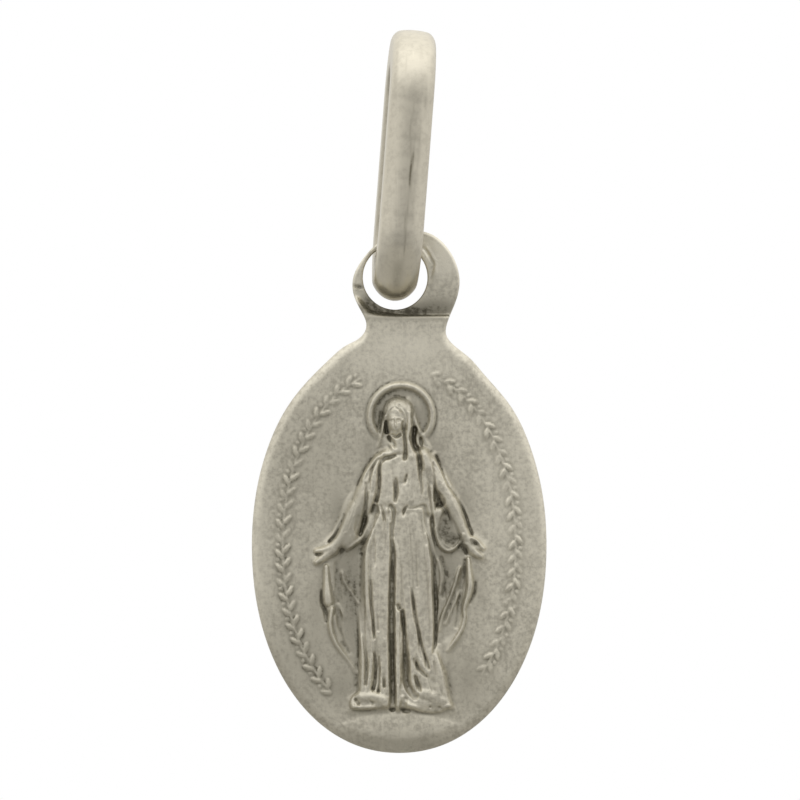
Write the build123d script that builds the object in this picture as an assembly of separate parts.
from build123d import *
import math
import os
from typing import NamedTuple

# A worn silver devotional medal: an oval struck plate with a standing robed figure in
# relief, a ring tab with a round hole above it, and a long soldered link through the hole.
# Millimetres, +Z up, +X to the right of the front, the front faces -Y.
# The origin is the top inner surface of the link, where a chain passes.

# Driving dimensions of the link
BAIL_WIDTH = 1.49
BAIL_THICKNESS = 1.45
BAIL_LENGTH = 9.10
BAIL_GAP = 1.70
BAIL_CROWN = 0.42
BAIL_INNER_ROUND = 0.25
BAIL_LEAN = 4.4
BAIL_TURN = 3.3

# Driving dimensions of the medal
OVAL_WIDTH = 10.0
OVAL_HEIGHT = 14.04
OVAL_SQUARENESS = 2.09
PLATE_THICKNESS = 1.10
FRONT_EDGE_ROUND = 0.30
BACK_EDGE_ROUND = 0.20
EYE_THICKNESS = 0.79
EYE_EDGE_ROUND = 0.12
EYE_TAPER = 2.0
EYE_BACK_STEP = 0.05
HOLE_DIAMETER = 2.20
HOLE_CHAMFER = 0.10
HOLE_BACK_CHAMFER = 0.05
HOLE_ABOVE_OVAL = 9.13
HOLE_LEFT_OF_OVAL = 0.14
SEAT = 0.775
HOLE_RIM_TYPES = (GeomType.CIRCLE, GeomType.ELLIPSE)

# The relief is laid out on a drawing grid with its origin in the middle of the oval.
GRID = 0.0339
FACET = 0.095
SHOWN = 0.01
LIP = 0.012
RELIEF_ROOT = 0.30
BORDER_PASSES = 3
SMOOTHING = [
    (0, 0, 6), (1, 0, 1), (-1, 0, 1), (0, 1, 1), (0, -1, 1),
]
BLEND = 0.03
STROKE_ROUNDNESS = 0.7

# Worked out from the sizes above
BAIL_INSIDE = BAIL_LENGTH - 2 * BAIL_THICKNESS
BOW_RADIUS = BAIL_GAP / 2
PIVOT_DEPTH = BAIL_INSIDE + SEAT
PIVOT_X = -PIVOT_DEPTH * math.sin(math.radians(BAIL_LEAN))
PIVOT_Z = -PIVOT_DEPTH * math.cos(math.radians(BAIL_LEAN))
OVAL_X = PIVOT_X + HOLE_LEFT_OF_OVAL
OVAL_Z = PIVOT_Z - HOLE_ABOVE_OVAL
BACK_Y = EYE_THICKNESS / 2
FRONT_Y = BACK_Y - PLATE_THICKNESS


class Station(NamedTuple):
    """One section of a stroke: place and half width in grid steps, rise in mm."""
    x: float
    z: float
    half_width: float
    rise: float


class Stroke(NamedTuple):
    """A rounded ridge or groove that runs through its stations."""
    name: str
    stations: list


class Patch(NamedTuple):
    """A raised area with a soft border: rise in mm, the rest in grid steps."""
    name: str
    rise: float
    border: float
    corners: list


# Outline of the ring tab and neck, (x, z) in grid steps from the middle of the oval, from
# the left shoulder over the top to the right one.
TAB_OUTLINE = [
    (-69, 188), (-53, 201), (-39, 209), (-33, 219), (-39, 237), (-46.5, 256), (-45.5, 271),
    (-36, 288), (-22, 303), (-6, 312), (13, 316), (32, 312.5), (48, 299), (58, 280),
    (60.5, 264), (57, 246), (49, 226), (47, 212), (55, 201), (71, 188),
]
TAB_TOP_Z = 317
TAB_STEP_Z = 231
SHOULDER_ANGLE = 57
OVAL_ANGLE_STEP = 14.7

PATCHES = [
    Patch("mantle", 0.07, 6, [
        (-14, 98), (-30, 88), (-48, 55), (-68, 14), (-84, -3), (-87, -14), (-76, -20),
        (-77, -58), (-71, -85), (-50, -115), (-44, -130), (-52, -152), (-52, -165),
        (58, -166), (48, -150), (46, -120), (65, -85), (76, -45), (74, -12), (88, -14),
        (88, 3), (71, 28), (50, 62), (32, 98), (16, 132), (8, 149), (-6, 149),
        (-18, 120), (-20, 104),
    ]),
    Patch("torso", 0.30, 7, [
        (-20, 88), (-12, 96), (22, 94), (33, 90), (35, 60), (34, 38), (-24, 36), (-23, 60),
    ]),
    Patch("neck", 0.30, 5, [(-10, 118), (8, 118), (12, 92), (-8, 92)]),
    Patch("skirt", 0.26, 7, [
        (-26, 38), (26, 38), (35, -5), (36, -100), (46, -125), (54, -162), (-49, -162),
        (-41, -146), (-40, -90), (-39, -10), (-30, 22),
    ]),
]

LIMBS = [
    Stroke("left_upper_arm", [
        Station(-24, 86, 11, .34), Station(-30, 66, 12, .37), Station(-42, 36, 12, .37)]),
    Stroke("left_forearm", [
        Station(-42, 38, 11, .37), Station(-50, 24, 11, .37), Station(-64, 1, 7, .30)]),
    Stroke("left_hand", [Station(-64, 1, 7, .30), Station(-84, -5, 3.5, .19)]),
    Stroke("left_fingers", [Station(-66, -3, 7, .30), Station(-83, -15, 3.5, .18)]),
    Stroke("left_sleeve", [
        Station(-44, 30, 11, .36), Station(-50, 12, 12, .34), Station(-52, 5, 9, .31)]),
    Stroke("right_upper_arm", [
        Station(30, 88, 10, .34), Station(38, 72, 10, .36), Station(52, 44, 9, .37)]),
    Stroke("right_forearm", [
        Station(52, 44, 9, .37), Station(58, 30, 8, .36), Station(68, 7, 6.5, .30)]),
    Stroke("right_hand", [Station(67, 8, 6.5, .30), Station(84, -1, 3.5, .20)]),
    Stroke("right_fingers", [Station(68, 2, 7, .30), Station(82, -10, 4, .20)]),
    Stroke("right_sleeve", [Station(42, 30, 8, .25), Station(48, 8, 14, .24)]),
    Stroke("head", [Station(-1, 134, 13, .42), Station(-2, 122, 12, .40)]),
    Stroke("right_lock", [
        Station(8, 132, 7, .37), Station(9, 108, 6, .35), Station(12, 90, 6, .33)]),
    Stroke("feet", [Station(-46, -156, 6, .34), Station(-14, -154, 7, .36)]),
    Stroke("hem_foot", [Station(8, -158, 5, .30), Station(48, -160, 6, .30)]),
]

FOLDS = [
    Stroke("left_shoulder_edge", [
        Station(-15, 96, 3, .05), Station(-30, 78, 4, .08), Station(-38, 64, 3, .06)]),
    Stroke("left_mantle_edge", [
        Station(-20, 84, 3, .05), Station(-30, 60, 3, .07), Station(-33, 32, 3, .10),
        Station(-36, 14, 3, .11), Station(-46, 0, 3, .09)]),
    Stroke("veil_left", [
        Station(-14, 132, 2.5, .10), Station(-18, 112, 2.5, .14), Station(-21, 100, 2, .06)]),
    Stroke("veil_right", [
        Station(9, 147, 3, .05), Station(16, 127, 3, .12), Station(25, 108, 3, .08)]),
    Stroke("left_hem", [
        Station(-71, -20, 4, .10), Station(-70, -45, 6, .17), Station(-69, -58, 6, .15)]),
    Stroke("left_hem_low", [
        Station(-68, -64, 4, .12), Station(-67, -84, 4, .13), Station(-58, -103, 3.5, .10),
        Station(-43, -124, 3, .04)]),
    Stroke("right_hem", [
        Station(69, -12, 3.5, .10), Station(70, -36, 5, .15), Station(67, -58, 4, .11),
        Station(64, -82, 3.5, .10), Station(50, -103, 3, .05)]),
    Stroke("right_lining", [
        Station(59, -24, 3, .08), Station(50, -53, 3, .10), Station(41, -80, 3, .05)]),
    Stroke("right_sleeve_edge", [
        Station(33, 84, 2.5, .05), Station(34.5, 42, 2.5, .09), Station(37, 12, 2.5, .14),
        Station(47, -4, 2.5, .14), Station(60, 3, 2.5, .12), Station(65, 14, 2.5, .08)]),
    Stroke("chest_left", [Station(-13, 82, 7, .06), Station(-13, 46, 7, .06)]),
    Stroke("chest_right", [Station(7, 78, 10, .07), Station(10, 46, 9, .06)]),
    Stroke("skirt_left_edge", [
        Station(-23, 30, 3, .08), Station(-32, -8, 3.5, .10), Station(-32.5, -52, 3.5, .11),
        Station(-27, -98, 3.5, .11), Station(-31, -142, 3, .08)]),
    Stroke("skirt_left", [
        Station(-18, 28, 5, .07), Station(-20, -10, 8, .10), Station(-19, -62, 9, .12),
        Station(-16, -110, 6, .11), Station(-12, -146, 4, .08)]),
    Stroke("centre_fold", [
        Station(-4, 4, 3, .06), Station(-1, -30, 3.5, .11), Station(-1, -100, 3.5, .13),
        Station(-1, -162, 3, .09)]),
    Stroke("skirt_middle", [
        Station(4, 30, 6, .06), Station(7, -24, 7, .08), Station(13, -80, 7, .10),
        Station(14, -112, 5, .10), Station(15, -140, 4, .06)]),
    Stroke("skirt_right", [
        Station(16, 28, 6, .05), Station(21, -30, 7, .08), Station(25, -84, 7, .09),
        Station(32, -120, 4, .06)]),
    Stroke("skirt_right_edge", [
        Station(27, 10, 3, .06), Station(31.5, -45, 3.5, .11), Station(32, -104, 3, .10)]),
    Stroke("trailing_fold", [Station(39, -100, 4, .05), Station(41, -146, 5, .07)]),
]

GROOVES = [
    Stroke("left_of_chest", [Station(-20.5, 84, 2.5, .10), Station(-22, 46, 2.5, .12)]),
    Stroke("left_sleeve_shadow", [
        Station(-34, 62, 2.5, .08), Station(-36, 38, 3, .16), Station(-40, 14, 3.5, .15)]),
    Stroke("waist_left", [Station(-23, 40, 4, .15), Station(-25, 24, 3, .12)]),
    Stroke("waist_middle", [Station(-9, 40, 3, .12), Station(-6, 24, 3, .10)]),
    Stroke("waist_right", [
        Station(5, 37, 3, .10), Station(20, 37, 3, .08), Station(26, 30, 4, .15),
        Station(28, 14, 3, .08)]),
    Stroke("chest_cleft", [Station(-4, 63, 3, .08), Station(-4, 44, 3, .08)]),
    Stroke("right_shoulder_shadow", [Station(18.5, 92, 3, .12), Station(20, 74, 3, .10)]),
    Stroke("right_sleeve_notch", [Station(37, 58, 3.5, .10), Station(41, 44, 6, .18)]),
    Stroke("right_sleeve_mouth", [Station(45, 26, 9, .17), Station(49, 8, 9, .17)]),
    Stroke("right_arm_back", [
        Station(41, 76, 2.5, .07), Station(53, 52, 3, .09), Station(72, 14, 3, .10)]),
    Stroke("left_arm_back", [Station(-70, 5, 2.5, .10), Station(-56, 30, 2.5, .07)]),
    Stroke("face_side", [Station(3.5, 124, 2.2, .10), Station(6, 92, 2.5, .14)]),
    Stroke("neck_left", [Station(-11, 110, 3, .16), Station(-4, 100, 3, .18)]),
    Stroke("collar", [Station(-14, 87, 3, .14), Station(-7, 88, 3, .14)]),
    Stroke("veil_hollow_right", [Station(15, 118, 4, .22), Station(16, 99, 4, .22)]),
    Stroke("veil_hollow_left", [Station(-13, 124, 3, .16), Station(-12, 112, 3, .16)]),
    Stroke("skirt_left_shadow", [
        Station(-38, -8, 3, .14), Station(-37, -60, 3, .18), Station(-34, -110, 2.5, .10)]),
    Stroke("skirt_left_cleft", [Station(-25, -104, 2.5, .10), Station(-24, -138, 3.5, .15)]),
    Stroke("centre_cleft", [
        Station(-7, 10, 2, .06), Station(-7, -30, 4, .20), Station(-7.5, -80, 4.5, .22),
        Station(-7, -158, 4.5, .22)]),
    Stroke("middle_cleft", [
        Station(3, -62, 2.5, .12), Station(5, -96, 3, .15), Station(7, -130, 4.5, .22),
        Station(14, -148, 4, .14)]),
    Stroke("sweeping_cleft", [
        Station(13, -46, 2, .08), Station(18, -80, 2.5, .12), Station(30, -120, 2.5, .09)]),
    Stroke("skirt_right_shadow", [
        Station(31, 4, 2.5, .12), Station(36, -50, 3, .16), Station(35, -104, 2.5, .11)]),
]

# Halo: a ring behind the head that sinks into the field below the ears
HALO_X, HALO_Z = 2, 128.5
HALO_RADIUS = 32.3
HALO_HALF_WIDTH = 3.6
HALO_RISE = 0.20
HALO_FOOT_Z = 104
HALO_FADE = 12

RELIEF_LEFT, RELIEF_RIGHT = -96, 96
RELIEF_BOTTOM, RELIEF_TOP = -169, 172

# Ball under the feet: a shallow cap whose top shows and whose rest the rim cuts off
BALL_TOP_Z = -171
BALL_CONTOUR_RADIUS = 3.73
BALL_RISE = 0.30
BALL_INSET = 0.33


def soft_step(value):
    """Runs smoothly from 0 to 1 while value runs from 0 to 1."""
    value = min(max(value, 0.0), 1.0)
    return value * value * (3 - 2 * value)


def blend_max(first, second):
    """The higher of two levels, with the crease between them rounded."""
    width = min(BLEND, first, second)
    if width <= 0:
        return max(first, second)
    share = min(max(0.5 + (first - second) / (2 * width), 0.0), 1.0)
    return second + (first - second) * share + width * share * (1 - share)


def stroke_height(x, z, stroke):
    """Height of a half-round stroke at one place of the grid, 0 beside it."""
    best = 0.0
    for start, end in zip(stroke.stations, stroke.stations[1:]):
        run_x, run_z = end.x - start.x, end.z - start.z
        along = ((x - start.x) * run_x + (z - start.z) * run_z) / (run_x ** 2 + run_z ** 2)
        along = min(max(along, 0.0), 1.0)
        away = math.hypot(x - start.x - along * run_x, z - start.z - along * run_z)
        half = start.half_width + along * (end.half_width - start.half_width)
        if away < half:
            rise = start.rise + along * (end.rise - start.rise)
            best = max(best, rise * (1 - (away / half) ** 2) ** STROKE_ROUNDNESS)
    return best


def border_distance(x, z, corners):
    """Distance to the border of a patch, positive inside it."""
    inside = False
    nearest = math.inf
    for (ax, az), (bx, bz) in zip(corners, corners[1:] + corners[:1]):
        run_x, run_z = bx - ax, bz - az
        along = ((x - ax) * run_x + (z - az) * run_z) / (run_x ** 2 + run_z ** 2)
        along = min(max(along, 0.0), 1.0)
        nearest = min(nearest, math.hypot(x - ax - along * run_x, z - az - along * run_z))
        if (az > z) != (bz > z) and x < ax + run_x * (z - az) / run_z:
            inside = not inside
    return nearest if inside else -nearest


def halo_height(x, z):
    """Half-round ring behind the head, fading out at its two ends."""
    off_centre = abs(math.hypot(x - HALO_X, z - HALO_Z) - HALO_RADIUS)
    if off_centre >= HALO_HALF_WIDTH:
        return 0.0
    fade = soft_step((z - HALO_FOOT_Z) / HALO_FADE)
    return HALO_RISE * math.sqrt(1 - (off_centre / HALO_HALF_WIDTH) ** 2) * fade


def relief_height(x, z):
    """Height of the relief over the field in mm, at a place given in grid steps."""
    level = halo_height(x, z)
    for patch in PATCHES:
        inside = border_distance(x, z, patch.corners) / patch.border + 0.5
        level = blend_max(level, patch.rise * soft_step(inside))
    for limb in LIMBS:
        level = blend_max(level, stroke_height(x, z, limb))
    level += max(stroke_height(x, z, fold) for fold in FOLDS)
    return level - max(stroke_height(x, z, groove) for groove in GROOVES)


def relief_point(x, z, height):
    """A place of the relief, given in grid steps and a height, as a point of the part."""
    return (OVAL_X + x * GRID, FRONT_Y - height, OVAL_Z + z * GRID)


def relief_heights(columns, rows, step):
    """Heights of the relief at the corners of its cells, lightly smoothed."""
    raw = {}
    for column in range(-1, columns + 2):
        for row in range(-1, rows + 2):
            x, z = RELIEF_LEFT + column * step, RELIEF_BOTTOM + row * step
            raw[column, row] = relief_height(x, z)
    heights = {}
    for column in range(columns + 1):
        for row in range(rows + 1):
            around = sum(weight * raw[column + i, row + j] for i, j, weight in SMOOTHING)
            heights[column, row] = around / sum(weight for *_, weight in SMOOTHING)
    return heights


def relief_cells(heights, columns, rows):
    """The cells under the figure, each row an unbroken run from its left to its right."""
    cells = []
    for row in range(rows):
        shown = [column for column in range(columns)
                 if max(heights[column + i, row + j] for i in (0, 1) for j in (0, 1)) > SHOWN]
        if shown:
            cells += [(column, row) for column in range(min(shown), max(shown) + 1)]
    return cells


def cell_corners(cell):
    """The four corners of a cell, anticlockwise as seen from the front."""
    column, row = cell
    return [(column, row), (column + 1, row), (column + 1, row + 1), (column, row + 1)]


def border_loop(cells):
    """The corners along the border of the cells, in order."""
    sides = set()
    for cell in cells:
        corners = cell_corners(cell)
        for start, end in zip(corners, corners[1:] + corners[:1]):
            if (end, start) in sides:
                sides.remove((end, start))
            else:
                sides.add((start, end))
    follows = dict(sides)
    loop = [min(follows)]
    while follows[loop[-1]] != loop[0]:
        loop.append(follows[loop[-1]])
    return loop


def smooth_loop(places):
    """Rounds the steps of a closed loop of places."""
    for _ in range(BORDER_PASSES):
        places = [
            tuple((before + 3 * here + after) / 5 for before, here, after in zip(*trio))
            for trio in zip(places[-1:] + places[:-1], places, places[1:] + places[:1])]
    return places


def cell_facets(cell, tops, border):
    """The two facets of a cell, cut so that neither lies wholly along the border."""
    a, b, c, d = cell_corners(cell)
    cuts = [[(a, b, c), (a, c, d)], [(a, b, d), (b, c, d)]]
    drops = [abs(tops[a][1] - tops[c][1]), abs(tops[b][1] - tops[d][1])]
    flat = [any(border.issuperset(facet) for facet in cut) for cut in cuts]
    best = min((0, 1), key=lambda index: (flat[index], drops[index]))
    return [tuple(tops[corner] for corner in facet) for facet in cuts[best]]


def relief_solid():
    """Faceted solid of the figure, with its flat root inside the plate."""
    step = FACET / GRID
    columns = int((RELIEF_RIGHT - RELIEF_LEFT) / step) + 1
    rows = int((RELIEF_TOP - RELIEF_BOTTOM) / step) + 1
    heights = relief_heights(columns, rows, step)
    cells = relief_cells(heights, columns, rows)
    loop = border_loop(cells)

    tops = {}
    for (column, row), height in heights.items():
        x, z = RELIEF_LEFT + column * step, RELIEF_BOTTOM + row * step
        tops[column, row] = relief_point(x, z, max(height, LIP))
    rounded = smooth_loop([(column, row) for column, row in loop])
    roots = []
    for corner, (column, row) in zip(loop, rounded):
        x, z = RELIEF_LEFT + column * step, RELIEF_BOTTOM + row * step
        tops[corner] = relief_point(x, z, LIP)
        roots.append(relief_point(x, z, -RELIEF_ROOT))

    facets = []
    for cell in cells:
        facets += cell_facets(cell, tops, set(loop))
    for index, corner in enumerate(loop):
        facets.append((tops[loop[index - 1]], tops[corner], roots[index], roots[index - 1]))
    facets.append(tuple(roots))
    return Solid(Shell([Face(Wire.make_polygon(facet, close=True)) for facet in facets]))


def oval_points(start_angle, sweep, inset=0.0):
    """Places on the oval, clockwise from start_angle through sweep degrees."""
    half_width, half_height = OVAL_WIDTH / 2 - inset, OVAL_HEIGHT / 2 - inset
    count = round(sweep / OVAL_ANGLE_STEP)
    points = []
    for index in range(count + 1):
        angle = math.radians(start_angle - sweep * index / count)
        across, along = math.cos(angle), math.sin(angle)
        x = math.copysign(abs(across) ** (2 / OVAL_SQUARENESS), across) * half_width
        z = math.copysign(abs(along) ** (2 / OVAL_SQUARENESS), along) * half_height
        points.append((x, z))
    return points


def closed_face(points):
    """Flat face at y = 0 inside one smooth closed curve, (x, z) from the oval's middle."""
    curve = Edge.make_spline([Vector(OVAL_X + x, 0, OVAL_Z + z) for x, z in points],
                             periodic=True)
    return Face(Wire([curve]))


def plate_solid():
    """Oval plate, neck and ring tab with the round hole, without the figure."""
    tab = [(x * GRID, z * GRID) for x, z in TAB_OUTLINE]
    outline = tab + oval_points(SHOULDER_ANGLE, 180 + 2 * SHOULDER_ANGLE)
    plate = extrude(closed_face(outline), amount=PLATE_THICKNESS, dir=(0, 1, 0))
    plate = Pos(0, FRONT_Y, 0) * plate
    front = plate.faces().sort_by(Axis.Y)[0]
    plate = fillet(front.edges(), FRONT_EDGE_ROUND)
    back = plate.faces().sort_by(Axis.Y)[-1]
    plate = fillet(back.edges(), BACK_EDGE_ROUND)

    top_z = OVAL_Z + TAB_TOP_Z * GRID
    step_z = OVAL_Z + TAB_STEP_Z * GRID
    deep = math.tan(math.radians(EYE_TAPER)) * (top_z - step_z)
    face_y = BACK_Y - EYE_THICKNESS
    cutter = Polygon((top_z + 1, face_y), (top_z, face_y), (step_z, face_y + deep),
                     (step_z, FRONT_Y - 1), (top_z + 1, FRONT_Y - 1), align=None)
    side = Plane((0, 0, 0), x_dir=(0, 0, 1), z_dir=(-1, 0, 0))
    plate -= extrude(side * cutter, OVAL_WIDTH, both=True)
    behind = Box(OVAL_WIDTH, EYE_BACK_STEP, top_z + 1 - step_z,
                 align=(Align.CENTER, Align.MAX, Align.MIN))
    plate -= Pos(OVAL_X, BACK_Y, step_z) * behind

    tab_edges = plate.edges().filter_by(lambda edge: edge.bounding_box().min.Z > step_z - 0.01)
    front_rim = tab_edges.filter_by(lambda edge: edge.bounding_box().max.Y < face_y + deep + 0.01)
    plate = fillet(front_rim.sort_by(SortBy.LENGTH)[-1], EYE_EDGE_ROUND)

    hole = Cylinder(HOLE_DIAMETER / 2, 3 * PLATE_THICKNESS, rotation=(90, 0, 0))
    plate -= Pos(PIVOT_X, 0, PIVOT_Z) * hole
    hole_rims = plate.edges().filter_by(lambda edge: edge.geom_type in HOLE_RIM_TYPES)
    plate = chamfer(hole_rims.sort_by(Axis.Y)[-1], HOLE_BACK_CHAMFER)
    hole_rims = plate.edges().filter_by(lambda edge: edge.geom_type in HOLE_RIM_TYPES)
    return chamfer(hole_rims.sort_by(Axis.Y)[0], HOLE_CHAMFER)


def ball_solid():
    """Shallow cap of the ball under the feet, inside the rim."""
    radius = (BALL_CONTOUR_RADIUS ** 2 + BALL_RISE ** 2) / (2 * BALL_RISE)
    middle_z = OVAL_Z + BALL_TOP_Z * GRID - BALL_CONTOUR_RADIUS
    ball = Pos(OVAL_X, FRONT_Y - BALL_RISE + radius, middle_z) * Sphere(radius)
    inside = closed_face(oval_points(0, 360, BALL_INSET)[:-1])
    inside = extrude(inside, amount=BALL_RISE + RELIEF_ROOT, dir=(0, 1, 0))
    return ball & (Pos(0, FRONT_Y - BALL_RISE, 0) * inside)


def bail_section():
    """Section of the wire: flat inside with rounded corners, crowned outside."""
    half, corner = BAIL_WIDTH / 2, BAIL_INNER_ROUND
    flank = BAIL_THICKNESS - BAIL_CROWN
    bevel = corner * (1 - math.sqrt(0.5))
    inner, outer = -BOW_RADIUS, -BOW_RADIUS - BAIL_THICKNESS
    z = -BOW_RADIUS
    wire = Wire([
        Edge.make_line((-half + corner, inner, z), (half - corner, inner, z)),
        Edge.make_three_point_arc((half - corner, inner, z), (half - bevel, inner - bevel, z),
                                  (half, inner - corner, z)),
        Edge.make_line((half, inner - corner, z), (half, inner - flank, z)),
        Edge.make_three_point_arc((half, inner - flank, z), (0, outer, z),
                                  (-half, inner - flank, z)),
        Edge.make_line((-half, inner - flank, z), (-half, inner - corner, z)),
        Edge.make_three_point_arc((-half, inner - corner, z), (-half + bevel, inner - bevel, z),
                                  (-half + corner, inner, z)),
    ])
    return Face(wire)


def bail_solid():
    """Closed long link: two straight legs and two half-round bows, leaning as it hangs."""
    section = bail_section()
    straight = BAIL_INSIDE - 2 * BOW_RADIUS
    front_leg = extrude(section, amount=straight, dir=(0, 0, -1))
    top_bow = revolve(section, Axis((0, 0, -BOW_RADIUS), (-1, 0, 0)), 180)
    back_leg = mirror(front_leg, about=Plane.XZ)
    bottom_bow = mirror(top_bow, about=Plane((0, 0, -BAIL_INSIDE / 2)))
    link = front_leg + top_bow + back_leg + bottom_bow
    return Rot(0, BAIL_LEAN, 0) * Rot(0, 0, BAIL_TURN) * link


os.makedirs("parts", exist_ok=True)

medal = plate_solid() + ball_solid() + relief_solid()
export_step(medal, "parts/medal.step")

bail = bail_solid()
export_step(bail, "parts/bail.step")
